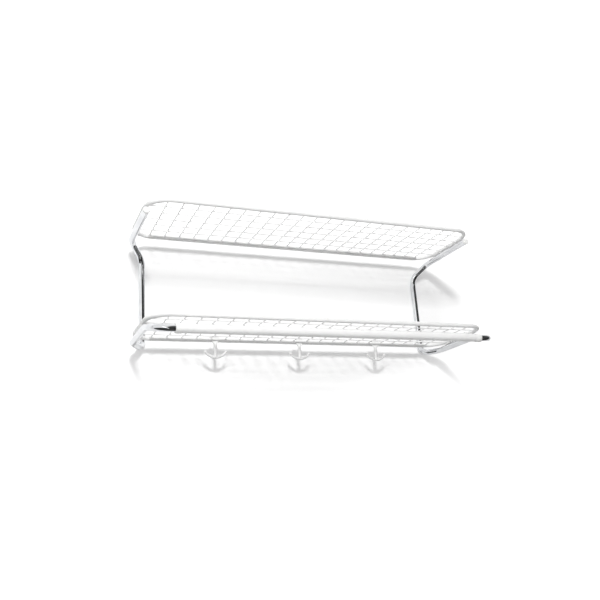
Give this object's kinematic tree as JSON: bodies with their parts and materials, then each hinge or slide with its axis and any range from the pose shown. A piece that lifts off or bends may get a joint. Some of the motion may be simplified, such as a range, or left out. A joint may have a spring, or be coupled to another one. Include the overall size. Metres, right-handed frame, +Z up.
{
  "type": "wall hat rack",
  "caption": "Wall-mounted hat rack with wire shelves on bent chrome side tubes, a hanger rod along the front and sliding double coat hooks.",
  "frame": {"origin": "on the wall plane, at the middle of the four wall-screw holes, which is the rack's mid-width and the mid-height between its arms", "axes": "+X along the wall to the right as seen from the room, +Y into the wall, so the rack stands out along -Y, +Z up"},
  "size_m": [0.97, 0.3372, 0.3501],
  "materials": {
    "chrome_tube": "polished",
    "white_lacquer": "satin",
    "hook_lacquer": "gloss",
    "white_plastic": "satin",
    "zinc_screw": "satin"
  },
  "bodies": {
    "rack": {"left_side_tube": "chrome_tube", "right_side_tube": "chrome_tube", "left_arm_plug": "white_plastic", "right_arm_plug": "white_plastic", "left_rod_collar": "white_plastic", "right_rod_collar": "white_plastic", "hanger_rod": "white_lacquer", "upper_shelf_rim": "white_lacquer", "upper_long_wires": "white_lacquer", "upper_cross_wires": "white_lacquer", "upper_border_bar": "white_lacquer", "upper_rim_tabs": "white_lacquer", "upper_arm_plates": "white_lacquer", "upper_arm_screws": "zinc_screw", "lower_shelf_rim": "white_lacquer", "lower_long_wires": "white_lacquer", "lower_cross_wires": "white_lacquer", "lower_border_bar": "white_lacquer", "lower_rim_tabs": "white_lacquer", "lower_arm_plates": "white_lacquer", "lower_arm_screws": "zinc_screw"},
    "left_hook": {"left_hook": "hook_lacquer"},
    "middle_hook": {"middle_hook": "hook_lacquer"},
    "right_hook": {"right_hook": "hook_lacquer"}
  },
  "joints": [
    {"name": "left_hook_slide", "type": "slide", "parent": "rack", "child": "left_hook", "axis": [1, 0, 0], "range_m": [-0.053, 0.09]},
    {"name": "middle_hook_slide", "type": "slide", "parent": "rack", "child": "middle_hook", "axis": [1, 0, 0], "range_m": [-0.09, 0.09]},
    {"name": "right_hook_slide", "type": "slide", "parent": "rack", "child": "right_hook", "axis": [1, 0, 0], "range_m": [-0.09, 0.053]}
  ]
}
